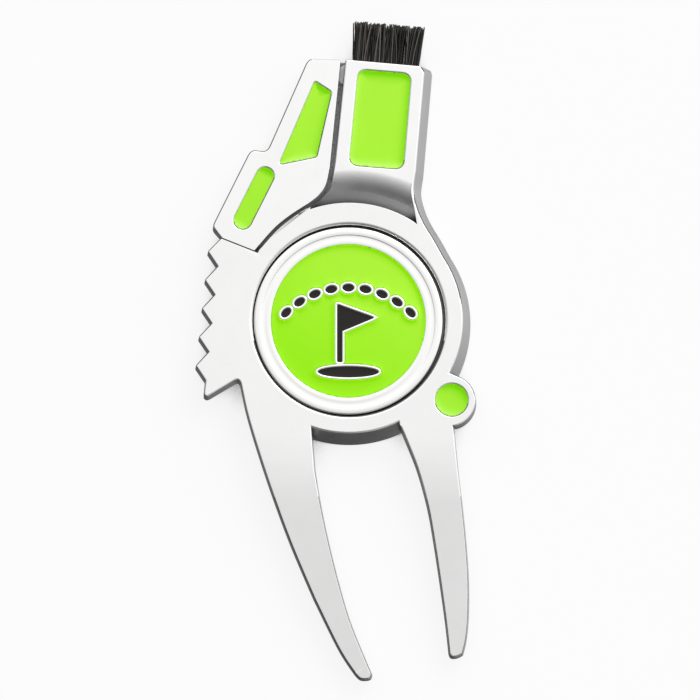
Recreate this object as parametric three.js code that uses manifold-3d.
// Divot repair tool: a zinc casting with two prongs, a groove-cleaning tooth row and a brush housing,
// a swing-out arm, and a magnetic ball marker. It lies on its back: +Z is out of the face, +Y is the length
// of the tool towards the brush, and the origin is on the axis of the round hub, on the back. Millimetres.
import * as THREE from 'three';
import { mergeVertices } from 'three/addons/utils/BufferGeometryUtils.js';
import Module from 'manifold-3d';

const wasm = await Module();
wasm.setup();

// ---------- driving dimensions ----------
const FACE_Z = 5.0; // hub and housing are this deep
const PLATE_BACK_Z = 1.4; // the thinner plate of teeth, prongs, ear and arm starts here
const FIT = 0.05; // clearance of a glued or pressed piece in its seat
const ARC_STEPS = 5; // facets given to each stretch of a curve
const OVAL_STEPS = 10; // facets given to half a turn of a small oval
const PLATE_STEPS = 8; // facets given to each stretch of the plate's outline
const HUB_ARCS = 3; // the hub's edge is drawn in this many arcs, each with its own facets
const SCOOP_STEPS = 14; // facets given to each bend of the scoop and of the prongs' faces
const FACET_LENGTH = 1.1; // of a turned piece

const HUB_RADIUS = 15.3; // edge of the ring on the face
const FLANK_WIDTH = 1.05; // how far hub and housing spread behind the face
const FLANK_DEPTH = 4.1;

const MARKER_RADIUS = 12.7; // a 1 inch coin marker
const MARKER_SEAT_RADIUS = 13.25;
const MARKER_SEAT_Z = 3.0;
const MARKER_TOP_Z = 4.97;
const MARKER_EDGE = 0.25;
const MARKER_OFFSET = new THREE.Vector2(-0.1, -0.1); // the marker lies loose in its seat
const MARKER_WELL_RADIUS = 10.4; // the enamel lies inside this
const MARKER_WELL_Z = 4.35;
const MARKER_STEP_RADIUS = 11.65; // the raised rim starts here
const MARKER_BAND_Z = 4.86;
const ENAMEL_TOP_Z = 4.7;
const CELL_TOP_Z = 4.82; // raised metal outlines of the emblem
const CELL_WALL = 0.32;
const CELL_DRAFT = 0.08; // the outlines narrow by this towards their tops
const FILL_BELOW_WALL = 0.04;
const FILL_FIT = 0.03;
const MAGNET_RADIUS = 4.0;
const MAGNET_BACK_Z = 1.0;
const MAGNET_TOP_Z = 2.9;

const INSET_SEAT_DEPTH = 0.7; // colour fills lie in shallow seats in the face
const INSET_BELOW_FACE = 0.14;
const INSET_EDGE = 0.02;

const TOOTH_COUNT = 5;
const FIRST_TOOTH_TIP = new THREE.Vector2(-19.02, 9.3);
const TOOTH_PITCH = new THREE.Vector2(-0.4, -3.87);
const TIP_TO_VALLEY = new THREE.Vector2(1.33, -1.97);

const EAR_CENTRE = new THREE.Vector2(13.5, -10.9);
const EAR_RADIUS = 3.5;
const EAR_INSET_CENTRE = new THREE.Vector2(13.78, -10.8);
const EAR_INSET_RADIUS = 2.17;

const PRONG_ROOT_Y = -15.5; // the face starts to fall towards the tips here
const PRONG_SLOPE_Y = -25; // and falls evenly from here
const PRONG_TIP_Y = -49.0;
const PRONG_SLOPE = 0.068;

const HOUSING_TILT = -0.0893; // the brush leans to the right of the tool's length
const HOUSING_MOUTH = new THREE.Vector2(4.98, 34.96);
const POCKET_WIDTH = 9.5;
const POCKET_DEPTH = 10.6;
const POCKET_BACK_Z = 0.95;
const POCKET_FRONT_Z = 3.75;
const BLOCK_LENGTH = 9.9;
const BLOCK_BELOW_MOUTH = 0.4;
const TUFT_COLUMNS = 4;
const TUFT_ROWS = 2;
const TUFT_PITCH_X = 2.32;
const TUFT_PITCH_Z = 1.32;
const TUFT_WIDTH = 1.9;
const TUFT_THICKNESS = 0.9;
const TUFT_TIP = 5.5; // above the mouth
const TUFT_ROOT = -5.2;
const TUFT_HOLE_END = -6.4;
const ANCHOR_LENGTH = 0.8;
const ANCHOR_WIDTH = 1.3;
const ANCHOR_THICKNESS = 0.35;

const SCOOP_OUTER_RADIUS = 20.5; // the scoop is dished about the hub's axis, and starts here
const SCOOP_BEND_RADIUS = 19.35; // its floor bends down about here
const SCOOP_INNER_RADIUS = 15.0; // inside the ring's edge
const SCOOP_SLOPE = 0.625; // of the floor past the bend
const RING_TOP_RADIUS = 15.95; // the ring's edge inside the scoop
const CUT_ABOVE = 1; // cuts from the face start this far above it

const SEAM_INNER = new THREE.Vector2(-12.28, 9.12); // the arm's foot meets the casting along this line
const SEAM_OUTER = new THREE.Vector2(-17.25, 11.1);

const PIVOT = new THREE.Vector2(-3.6, 33.85);
const LUG_HALF_WIDTH = 1.5;
const LUG_ROOT_X = -0.35; // inside the housing's wall
const LUG_TOP_Z = 2.65;
const LUG_CLEARANCE = 0.15;
const ARM_RELIEF_Z = 3.0;
const RIVET_RADIUS = 0.75;
const RIVET_HEAD_RADIUS = 1.15;
const RIVET_HEAD_TOP_Z = 1.95;
const RIVET_TOP_Z = 4.3;
const WASHER_OUTER = 1.4;
const WASHER_INNER = 0.88;
const WASHER_SHEET = 0.13;
const WASHER_RISE = 0.12;

// ---------- materials ----------
const finishes = {
  casting: { color: 0xd9d9d6, roughness: 0.28, metalness: 1.0 },
  arm: { color: 0xdcdcda, roughness: 0.28, metalness: 1.0 },
  steel: { color: 0xb8babc, roughness: 0.35, metalness: 1.0 },
  marker: { color: 0xe4e4e2, roughness: 0.18, metalness: 1.0 },
  green: { color: 0x74e210, roughness: 0.12, metalness: 0.0 },
  dark: { color: 0x101010, roughness: 0.2, metalness: 0.0 },
  magnet: { color: 0x8d9094, roughness: 0.4, metalness: 1.0 },
  block: { color: 0x1c1c1d, roughness: 0.6, metalness: 0.0 },
  bristle: { color: 0x0b0b0c, roughness: 0.5, metalness: 0.0 },
};

// ---------- solids ----------
function solidOf(geometry) {
  const bare = geometry.clone();
  bare.deleteAttribute('normal');
  bare.deleteAttribute('uv');
  const merged = mergeVertices(bare, 1e-5);
  const mesh = new wasm.Mesh({
    numProp: 3,
    vertProperties: Float32Array.from(merged.attributes.position.array),
    triVerts: Uint32Array.from(merged.index.array),
  });
  return new wasm.Manifold(mesh);
}

function geometryOf(solid) {
  const mesh = solid.getMesh();
  const places = new THREE.BufferAttribute(Float32Array.from(mesh.vertProperties), 3);
  const geometry = new THREE.BufferGeometry();
  geometry.setAttribute('position', places);
  geometry.setIndex(new THREE.BufferAttribute(Uint32Array.from(mesh.triVerts), 1));
  geometry.computeVertexNormals();
  return geometry;
}

// A flat plate with the outline between two heights. grow moves its walls outwards, and chamfer
// breaks both edges.
function plate(outline, lowZ, highZ, { chamfer = 0, grow = 0, steps = ARC_STEPS } = {}) {
  const geometry = new THREE.ExtrudeGeometry(outline, {
    depth: highZ - lowZ - 2 * chamfer,
    curveSegments: steps,
    bevelEnabled: chamfer > 0,
    bevelThickness: chamfer,
    bevelSize: chamfer,
    bevelOffset: grow - chamfer,
    bevelSegments: 1,
  });
  geometry.translate(0, 0, lowZ + chamfer);
  return solidOf(geometry);
}

function turnSteps(radius) {
  return 4 * Math.ceil(3 + (Math.PI * radius) / (2 * FACET_LENGTH));
}

// A round solid about Z from [radius, z] points that start and end on the axis or close on themselves.
function turned(profile) {
  const points = profile.map(([radius, z]) => new THREE.Vector2(radius, z));
  const widest = Math.max(...points.map((point) => point.x));
  const geometry = new THREE.LatheGeometry(points, turnSteps(widest));
  geometry.rotateX(Math.PI / 2);
  return solidOf(geometry);
}

function disc(radius, lowZ, highZ, centre = new THREE.Vector2()) {
  const geometry = new THREE.CylinderGeometry(radius, radius, highZ - lowZ, turnSteps(radius));
  geometry.rotateX(Math.PI / 2);
  geometry.translate(centre.x, centre.y, (lowZ + highZ) / 2);
  return solidOf(geometry);
}

function box(sizeX, sizeY, sizeZ, x, y, z) {
  return solidOf(new THREE.BoxGeometry(sizeX, sizeY, sizeZ).translate(x, y, z));
}

// A shape drawn in (y, z) and extruded along X between two places.
function sideways(outline, lowX, highX) {
  const geometry = new THREE.ExtrudeGeometry(outline, {
    depth: highX - lowX,
    curveSegments: SCOOP_STEPS,
    bevelEnabled: false,
  });
  geometry.translate(0, 0, lowX);
  const turn = new THREE.Matrix4().makeBasis(
    new THREE.Vector3(0, 1, 0),
    new THREE.Vector3(0, 0, 1),
    new THREE.Vector3(1, 0, 0),
  );
  return solidOf(geometry.applyMatrix4(turn));
}

// Puts a geometry drawn about the brush mouth, +Y out of it, in the housing.
function inHousing(geometry) {
  geometry.rotateZ(HOUSING_TILT);
  geometry.translate(HOUSING_MOUTH.x, HOUSING_MOUTH.y, 0);
  return geometry;
}

// ---------- outlines ----------
function at(path, x, y) {
  path.lineTo(x, y);
}

function curve(path, points) {
  path.splineThru(points.map(([x, y]) => new THREE.Vector2(x, y)));
}

// A polygon whose corners are [x, y, radius].
function roundedPolygon(corners) {
  const shape = new THREE.Shape();
  corners.forEach(([x, y, radius], index) => {
    const corner = new THREE.Vector2(x, y);
    const before = new THREE.Vector2(...corners.at(index - 1));
    const after = new THREE.Vector2(...corners[(index + 1) % corners.length]);
    const toBefore = before.sub(corner).normalize();
    const toAfter = after.sub(corner).normalize();
    const halfAngle = toBefore.angleTo(toAfter) / 2;
    const run = radius / Math.tan(halfAngle);
    const start = toBefore.multiplyScalar(run).add(corner);
    const end = toAfter.multiplyScalar(run).add(corner);
    if (index === 0) {
      shape.moveTo(start.x, start.y);
    } else {
      shape.lineTo(start.x, start.y);
    }
    shape.quadraticCurveTo(x, y, end.x, end.y);
  });
  shape.closePath();
  return shape;
}

// The edge of the casting that faces the arm, from the top of the housing to the outer end of the seam.
function armSideEdge(path) {
  at(path, -2.0, 20.4);
  curve(path, [[-2.45, 18.2], [-3.25, 17.1], [-5.0, 15.55]]);
  curve(path, [[-8.0, 13.63], [-10.0, 11.87], [-11.9, 9.7], SEAM_INNER.toArray()]);
}

// Hub and brush housing, as they meet the face.
function hubAndHousing() {
  const shape = new THREE.Shape();
  shape.moveTo(-0.45, 35.45);
  armSideEdge(shape);
  const startAngle = SEAM_INNER.angle();
  const endAngle = Math.atan2(8.4, 12.8);
  const sweep = (endAngle + 2 * Math.PI - startAngle) / HUB_ARCS;
  for (let arc = 0; arc < HUB_ARCS; arc += 1) {
    shape.absarc(0, 0, HUB_RADIUS, startAngle + arc * sweep, startAngle + (arc + 1) * sweep);
  }
  curve(shape, [[11.5, 10.75], [10.1, 13.1], [9.2, 15.2], [8.68, 17.6], [8.98, 20.2]]);
  at(shape, 10.15, 33.75);
  at(shape, 9.6, 34.55);
  shape.closePath();
  return shape;
}

// Everything to the left of the casting: the arm and the clearance round it.
function armSpace() {
  const shape = new THREE.Shape();
  shape.moveTo(0.1, 40.0);
  at(shape, -0.45, 35.45);
  armSideEdge(shape);
  at(shape, SEAM_OUTER.x, SEAM_OUTER.y);
  at(shape, -26.0, 14.5);
  at(shape, -26.0, 40.0);
  shape.closePath();
  return shape;
}

// Tooth row, hook, both prongs and ear. It runs on under the hub, where the marker seat is cut later.
function outerPlate() {
  const shape = new THREE.Shape();
  shape.moveTo(-10.5, 7.4);
  at(shape, SEAM_INNER.x, SEAM_INNER.y);
  at(shape, SEAM_OUTER.x, SEAM_OUTER.y);
  for (let tooth = 0; tooth < TOOTH_COUNT; tooth += 1) {
    const tip = TOOTH_PITCH.clone().multiplyScalar(tooth).add(FIRST_TOOTH_TIP);
    const valley = tip.clone().add(TIP_TO_VALLEY);
    at(shape, tip.x, tip.y);
    at(shape, valley.x, valley.y);
  }
  at(shape, -19.45, -9.75);
  shape.quadraticCurveTo(-19.5, -10.6, -18.75, -10.23);
  at(shape, -15.4, -8.2);
  shape.quadraticCurveTo(-14.75, -7.8, -14.5, -8.7);
  curve(shape, [[-13.45, -13.4], [-10.95, -21.4], [-7.95, -29.7], [-4.65, -37.5]]);
  curve(shape, [[-1.35, -44.2], [0.85, -47.6]]);
  curve(shape, [[1.6, -48.25], [2.75, -48.2], [3.05, -47.6]]);
  curve(shape, [[2.1, -45.4], [0.1, -40.4], [-1.4, -35.3], [-2.65, -30.3], [-3.75, -25.2], [-4.6, -20.2]]);
  at(shape, -5.05, -14.6);
  at(shape, -4.4, -12.0);
  at(shape, 6.2, -11.5);
  at(shape, 6.65, -13.8);
  curve(shape, [[7.5, -15.7], [9.25, -20.2], [10.6, -25.2], [11.5, -30.3], [12.25, -35.3]]);
  curve(shape, [[12.95, -40.4], [13.45, -44.9]]);
  curve(shape, [[13.75, -45.3], [14.5, -45.25], [15.2, -44.9]]);
  curve(shape, [[15.65, -43.0], [15.95, -40.0], [16.0, -35.3], [15.7, -30.3], [15.2, -25.2], [14.6, -20.2]]);
  at(shape, 14.05, -14.35);
  shape.absarc(EAR_CENTRE.x, EAR_CENTRE.y, EAR_RADIUS, -1.41, 1.25);
  at(shape, 13.3, -7.0);
  at(shape, 11.0, -5.0);
  shape.closePath();
  return shape;
}

function armOutline() {
  const shape = new THREE.Shape();
  shape.moveTo(-1.35, 35.36);
  at(shape, -4.9, 35.48);
  shape.quadraticCurveTo(-5.55, 35.5, -5.9, 34.6);
  at(shape, -10.75, 23.5);
  shape.quadraticCurveTo(-11.05, 22.95, -11.6, 22.95);
  at(shape, -12.7, 23.08);
  shape.quadraticCurveTo(-13.35, 23.05, -13.75, 22.1);
  at(shape, -18.1, 13.3);
  shape.quadraticCurveTo(-18.4, 12.75, -18.1, 12.35);
  at(shape, -17.26, 11.24);
  at(shape, -12.7, 9.42);
  curve(shape, [[-12.0, 10.25], [-10.0, 12.5], [-8.0, 14.15], [-5.4, 15.85]]);
  curve(shape, [[-4.1, 16.9], [-3.15, 18.3], [-2.6, 20.6]]);
  at(shape, -1.15, 35.1);
  shape.quadraticCurveTo(-1.12, 35.35, -1.35, 35.36);
  return shape;
}

const housingInsetOutline = roundedPolygon([
  [0.0, 21.1, 1.25],
  [7.25, 20.5, 1.25],
  [8.35, 33.45, 1.25],
  [1.25, 34.05, 1.25],
]);
const armUpperInsetOutline = roundedPolygon([
  [-9.4, 21.15, 0.3],
  [-4.4, 22.2, 0.45],
  [-2.4, 31.0, 0.45],
  [-4.6, 32.45, 0.3],
]);
const PILL_FOOT = new THREE.Vector2(-14.3, 13.55);
const PILL_HEAD = new THREE.Vector2(-11.3, 19.55);
const PILL_RADIUS = 1.17;

function pillOutline() {
  const across = Math.atan2(PILL_HEAD.y - PILL_FOOT.y, PILL_HEAD.x - PILL_FOOT.x) + Math.PI / 2;
  const shape = new THREE.Shape();
  shape.absarc(PILL_FOOT.x, PILL_FOOT.y, PILL_RADIUS, across, across + Math.PI);
  shape.absarc(PILL_HEAD.x, PILL_HEAD.y, PILL_RADIUS, across + Math.PI, across + 2 * Math.PI);
  shape.closePath();
  return shape;
}

function ovalOutline(width, height) {
  return new THREE.Shape().absellipse(0, 0, width / 2, height / 2, 0, 2 * Math.PI);
}

// ---------- the emblem on the marker: a flag on a green under an arch of beads ----------
const FLAG_CORNERS = [
  [-1.5, 2.3, 0.15],
  [-1.5, -5.6, 0.15],
  [-0.8, -5.6, 0.15],
  [-0.8, -1.4, 0.05],
  [3.6, 0.45, 0.15],
];
const MOUND_CENTRE = new THREE.Vector2(0.0, -6.9);
const MOUND_SIZE = new THREE.Vector2(8.2, 1.5);
const BEAD_COUNT = 9;
const BEAD_SIZE = new THREE.Vector2(1.6, 1.05);
const BEAD_ARCH_RADIUS = 12;
const BEAD_ARCH_CENTRE_Y = -7.5;
const BEAD_ARCH_SPAN = 1.54;

function emblemCells() {
  const cells = [];
  cells.push({
    name: 'marker_flag_fill',
    outline: roundedPolygon(FLAG_CORNERS),
    steps: 2,
    place: new THREE.Matrix4(),
  });
  cells.push({
    name: 'marker_mound_fill',
    outline: ovalOutline(MOUND_SIZE.x, MOUND_SIZE.y),
    steps: 2 * OVAL_STEPS,
    place: new THREE.Matrix4().makeTranslation(MOUND_CENTRE.x, MOUND_CENTRE.y, 0),
  });
  for (let bead = 0; bead < BEAD_COUNT; bead += 1) {
    const angle = BEAD_ARCH_SPAN * (0.5 - bead / (BEAD_COUNT - 1));
    const place = new THREE.Matrix4().makeTranslation(0, BEAD_ARCH_CENTRE_Y, 0);
    place.multiply(new THREE.Matrix4().makeRotationZ(angle));
    place.multiply(new THREE.Matrix4().makeTranslation(0, BEAD_ARCH_RADIUS, 0));
    const outline = ovalOutline(BEAD_SIZE.x, BEAD_SIZE.y);
    cells.push({ name: `marker_bead_fill_${bead + 1}`, outline, steps: OVAL_STEPS, place });
  }
  return cells;
}

function cellPlate(cell, lowZ, highZ, options = {}) {
  return plate(cell.outline, lowZ, highZ, { steps: cell.steps, ...options }).transform(cell.place.elements);
}

// ---------- pieces ----------
function prongFaceZ(y) {
  const slopeStart = FACE_Z - (PRONG_SLOPE * (PRONG_ROOT_Y - PRONG_SLOPE_Y)) / 2;
  return slopeStart - PRONG_SLOPE * (PRONG_SLOPE_Y - y);
}

// What is taken off the face so that the prongs thin out towards their tips.
function prongTaper() {
  const shape = new THREE.Shape();
  shape.moveTo(PRONG_ROOT_Y, FACE_Z);
  const bendY = (PRONG_ROOT_Y + PRONG_SLOPE_Y) / 2;
  shape.quadraticCurveTo(bendY, FACE_Z, PRONG_SLOPE_Y, prongFaceZ(PRONG_SLOPE_Y));
  at(shape, PRONG_TIP_Y, prongFaceZ(PRONG_TIP_Y));
  at(shape, PRONG_TIP_Y, FACE_Z + 2);
  at(shape, PRONG_ROOT_Y, FACE_Z + 2);
  shape.closePath();
  return sideways(shape, -20, 20);
}

// The thumb scoop between the housing's face and the ring. Its floor falls towards the ring.
function thumbScoop() {
  const bendEnd = 2 * SCOOP_BEND_RADIUS - SCOOP_OUTER_RADIUS;
  const floorZ = (radius) => FACE_Z - SCOOP_SLOPE * (SCOOP_BEND_RADIUS - radius);
  const side = new THREE.Shape();
  side.moveTo(SCOOP_INNER_RADIUS, FACE_Z + CUT_ABOVE);
  at(side, SCOOP_INNER_RADIUS, floorZ(SCOOP_INNER_RADIUS));
  at(side, bendEnd, floorZ(bendEnd));
  side.quadraticCurveTo(SCOOP_BEND_RADIUS, FACE_Z, SCOOP_OUTER_RADIUS, FACE_Z);
  at(side, SCOOP_OUTER_RADIUS, FACE_Z + CUT_ABOVE);
  side.closePath();
  const dish = turned(side.getPoints(SCOOP_STEPS).map((point) => point.toArray()));
  const footprint = new THREE.Shape();
  footprint.moveTo(8.3, 21.0);
  at(footprint, -5.2, 22.0);
  const startAngle = Math.atan2(15.08, -5.2);
  const endAngle = Math.atan2(13.1, 9.1);
  footprint.absarc(0, 0, RING_TOP_RADIUS, startAngle, endAngle, true);
  curve(footprint, [[8.72, 15.2], [8.3, 17.4], [8.45, 18.8]]);
  footprint.closePath();
  const lowest = floorZ(SCOOP_INNER_RADIUS) - 1;
  const above = plate(footprint, lowest, FACE_Z + CUT_ABOVE / 2, { steps: SCOOP_STEPS });
  return dish.intersect(above);
}

function bristleOval(lowY, highY, extra) {
  const outline = new THREE.Shape();
  const straight = (TUFT_WIDTH - TUFT_THICKNESS) / 2;
  const radius = TUFT_THICKNESS / 2 + extra;
  outline.absarc(straight, 0, radius, -Math.PI / 2, Math.PI / 2);
  outline.absarc(-straight, 0, radius, Math.PI / 2, 1.5 * Math.PI);
  outline.closePath();
  const geometry = new THREE.ExtrudeGeometry(outline, {
    depth: highY - lowY,
    curveSegments: ARC_STEPS,
    bevelEnabled: false,
  });
  geometry.rotateX(-Math.PI / 2);
  return geometry.translate(0, lowY, 0);
}

function tuftPlaces() {
  const places = [];
  const midZ = (POCKET_BACK_Z + POCKET_FRONT_Z) / 2;
  for (let row = 0; row < TUFT_ROWS; row += 1) {
    for (let column = 0; column < TUFT_COLUMNS; column += 1) {
      places.push({
        number: row * TUFT_COLUMNS + column + 1,
        x: (column - (TUFT_COLUMNS - 1) / 2) * TUFT_PITCH_X,
        z: midZ + (row - (TUFT_ROWS - 1) / 2) * TUFT_PITCH_Z,
      });
    }
  }
  return places;
}

function brushPocket() {
  const depth = POCKET_DEPTH + 4;
  const geometry = new THREE.BoxGeometry(POCKET_WIDTH, depth, POCKET_FRONT_Z - POCKET_BACK_Z);
  geometry.translate(0, depth / 2 - POCKET_DEPTH, (POCKET_BACK_Z + POCKET_FRONT_Z) / 2);
  return solidOf(inHousing(geometry));
}

function brushBlock() {
  const high = POCKET_FRONT_Z - POCKET_BACK_Z - 2 * FIT;
  const geometry = new THREE.BoxGeometry(POCKET_WIDTH - 2 * FIT, BLOCK_LENGTH, high);
  geometry.translate(0, -BLOCK_BELOW_MOUTH - BLOCK_LENGTH / 2, (POCKET_BACK_Z + POCKET_FRONT_Z) / 2);
  let block = solidOf(inHousing(geometry));
  for (const { x, z } of tuftPlaces()) {
    const hole = bristleOval(TUFT_HOLE_END, 1, FIT).translate(x, 0, z);
    block = block.subtract(solidOf(inHousing(hole)));
  }
  return block;
}

const SEAT_FLOOR_Z = FACE_Z - INSET_SEAT_DEPTH;
const INSET_TOP_Z = FACE_Z - INSET_BELOW_FACE;

function seat(outline) {
  return plate(outline, SEAT_FLOOR_Z, FACE_Z + CUT_ABOVE);
}

function inset(outline) {
  return plate(outline, SEAT_FLOOR_Z + FIT, INSET_TOP_Z, { chamfer: INSET_EDGE, grow: -FIT });
}

function earSeat() {
  return disc(EAR_INSET_RADIUS, SEAT_FLOOR_Z, FACE_Z + CUT_ABOVE, EAR_INSET_CENTRE);
}

function earInset() {
  return disc(EAR_INSET_RADIUS - FIT, SEAT_FLOOR_Z + FIT, INSET_TOP_Z, EAR_INSET_CENTRE);
}

function lug() {
  const shape = new THREE.Shape();
  shape.absarc(PIVOT.x, PIVOT.y, LUG_HALF_WIDTH, Math.PI / 2, 1.5 * Math.PI);
  at(shape, LUG_ROOT_X, PIVOT.y - LUG_HALF_WIDTH);
  at(shape, LUG_ROOT_X, PIVOT.y + LUG_HALF_WIDTH);
  shape.closePath();
  return plate(shape, PLATE_BACK_Z, LUG_TOP_Z);
}

function bodyCasting() {
  const flanked = new THREE.ExtrudeGeometry(hubAndHousing(), {
    depth: 2,
    curveSegments: 3 * ARC_STEPS,
    bevelThickness: FLANK_DEPTH,
    bevelSize: FLANK_WIDTH,
    bevelSegments: 1,
  });
  flanked.translate(0, 0, FACE_Z - FLANK_DEPTH - 2);
  let casting = solidOf(flanked).subtract(box(80, 120, 20, 0, 0, -10));
  casting = casting.subtract(plate(armSpace(), -2, FACE_Z + 2));
  casting = casting.subtract(solidOf(inHousing(new THREE.BoxGeometry(30, 10, 20).translate(0, 5, 0))));
  casting = casting.add(plate(outerPlate(), PLATE_BACK_Z, FACE_Z, { steps: PLATE_STEPS }));
  casting = casting.add(lug());
  const cuts = [
    prongTaper(),
    thumbScoop(),
    disc(MARKER_SEAT_RADIUS, MARKER_SEAT_Z, FACE_Z + CUT_ABOVE),
    disc(MAGNET_RADIUS + FIT, MAGNET_BACK_Z - FIT, MARKER_SEAT_Z + CUT_ABOVE),
    brushPocket(),
    seat(housingInsetOutline),
    earSeat(),
    disc(RIVET_RADIUS + FIT, 0, FACE_Z, PIVOT),
    disc(RIVET_HEAD_RADIUS + FIT, 0, RIVET_HEAD_TOP_Z + FIT, PIVOT),
  ];
  return cuts.reduce((rest, cut) => rest.subtract(cut), casting);
}

function swingArm() {
  const relief = new THREE.Shape();
  const reach = LUG_HALF_WIDTH + LUG_CLEARANCE;
  relief.moveTo(PIVOT.x - reach, PIVOT.y + 4);
  at(relief, PIVOT.x - reach, PIVOT.y);
  relief.absarc(PIVOT.x, PIVOT.y, reach, Math.PI, 1.5 * Math.PI);
  at(relief, PIVOT.x + 5, PIVOT.y - reach);
  at(relief, PIVOT.x + 5, PIVOT.y + 4);
  relief.closePath();
  const cuts = [
    plate(relief, 0, ARM_RELIEF_Z),
    disc(RIVET_RADIUS + FIT, ARM_RELIEF_Z - 1, RIVET_TOP_Z + FIT, PIVOT),
    seat(armUpperInsetOutline),
    seat(pillOutline()),
  ];
  const blank = plate(armOutline(), PLATE_BACK_Z, FACE_Z, { steps: PLATE_STEPS });
  return cuts.reduce((rest, cut) => rest.subtract(cut), blank);
}

function armRivet() {
  const back = PLATE_BACK_Z + FIT;
  return turned([
    [0, back],
    [RIVET_HEAD_RADIUS, back],
    [RIVET_HEAD_RADIUS, RIVET_HEAD_TOP_Z],
    [RIVET_RADIUS, RIVET_HEAD_TOP_Z],
    [RIVET_RADIUS, RIVET_TOP_Z],
    [0, RIVET_TOP_Z],
  ]).translate(PIVOT.x, PIVOT.y, 0);
}

function springWasher() {
  const low = LUG_TOP_Z + FIT;
  return turned([
    [WASHER_INNER, low + WASHER_RISE],
    [WASHER_OUTER, low],
    [WASHER_OUTER, low + WASHER_SHEET],
    [WASHER_INNER, low + WASHER_RISE + WASHER_SHEET],
    [WASHER_INNER, low + WASHER_RISE],
  ]).translate(PIVOT.x, PIVOT.y, 0);
}

function markerDisc() {
  const back = MARKER_SEAT_Z + FIT;
  let coin = turned([
    [0, back],
    [MARKER_RADIUS - MARKER_EDGE, back],
    [MARKER_RADIUS, back + MARKER_EDGE],
    [MARKER_RADIUS, MARKER_TOP_Z - MARKER_EDGE],
    [MARKER_RADIUS - MARKER_EDGE, MARKER_TOP_Z],
    [MARKER_STEP_RADIUS, MARKER_TOP_Z],
    [MARKER_STEP_RADIUS - CELL_DRAFT, MARKER_BAND_Z],
    [MARKER_WELL_RADIUS, MARKER_BAND_Z],
    [MARKER_WELL_RADIUS, MARKER_WELL_Z],
    [0, MARKER_WELL_Z],
  ]);
  for (const cell of emblemCells()) {
    const options = { chamfer: CELL_DRAFT, grow: CELL_WALL };
    const wall = cellPlate(cell, MARKER_WELL_Z - 2 * FIT, CELL_TOP_Z, options);
    coin = coin.add(wall).subtract(cellPlate(cell, MARKER_WELL_Z, CELL_TOP_Z + CUT_ABOVE));
  }
  return coin;
}

function markerEnamel() {
  const low = MARKER_WELL_Z + FIT;
  let enamel = disc(MARKER_WELL_RADIUS - FIT, low, ENAMEL_TOP_Z);
  for (const cell of emblemCells()) {
    const wall = { chamfer: CELL_DRAFT, grow: CELL_WALL + FIT };
    enamel = enamel.subtract(cellPlate(cell, low - CUT_ABOVE, CELL_TOP_Z + CUT_ABOVE, wall));
  }
  return enamel;
}

function emblemFill(cell) {
  const options = { chamfer: INSET_EDGE, grow: -FILL_FIT };
  return cellPlate(cell, MARKER_WELL_Z + FIT, CELL_TOP_Z - FILL_BELOW_WALL, options);
}

// ---------- assembly ----------
const tool = new THREE.Group();
const marker = new THREE.Group();
marker.position.set(MARKER_OFFSET.x, MARKER_OFFSET.y, 0);
tool.add(marker);

function addPiece(name, finish, solid, group = tool) {
  const mesh = new THREE.Mesh(geometryOf(solid), new THREE.MeshStandardMaterial(finishes[finish]));
  mesh.name = name;
  group.add(mesh);
}

addPiece('body_casting', 'casting', bodyCasting());
addPiece('swing_arm', 'arm', swingArm());
addPiece('arm_rivet', 'steel', armRivet());
addPiece('arm_spring_washer', 'steel', springWasher());
addPiece('arm_upper_inset', 'green', inset(armUpperInsetOutline));
addPiece('arm_lower_inset', 'green', inset(pillOutline()));
addPiece('housing_inset', 'green', inset(housingInsetOutline));
addPiece('ear_inset', 'green', earInset());

addPiece('marker_disc', 'marker', markerDisc(), marker);
addPiece('marker_enamel', 'green', markerEnamel(), marker);
for (const cell of emblemCells()) {
  addPiece(cell.name, 'dark', emblemFill(cell), marker);
}
addPiece('marker_magnet', 'magnet', disc(MAGNET_RADIUS, MAGNET_BACK_Z, MAGNET_TOP_Z));

addPiece('brush_block', 'block', brushBlock());
for (const { number, x, z } of tuftPlaces()) {
  const tuft = bristleOval(TUFT_ROOT, TUFT_TIP, 0).translate(x, 0, z);
  addPiece(`brush_tuft_${number}`, 'bristle', solidOf(inHousing(tuft)));
  const anchor = new THREE.BoxGeometry(ANCHOR_WIDTH, ANCHOR_LENGTH, ANCHOR_THICKNESS);
  anchor.translate(x, TUFT_ROOT - 2 * FIT - ANCHOR_LENGTH / 2, z);
  addPiece(`tuft_anchor_${number}`, 'steel', solidOf(inHousing(anchor)));
}

export default tool;
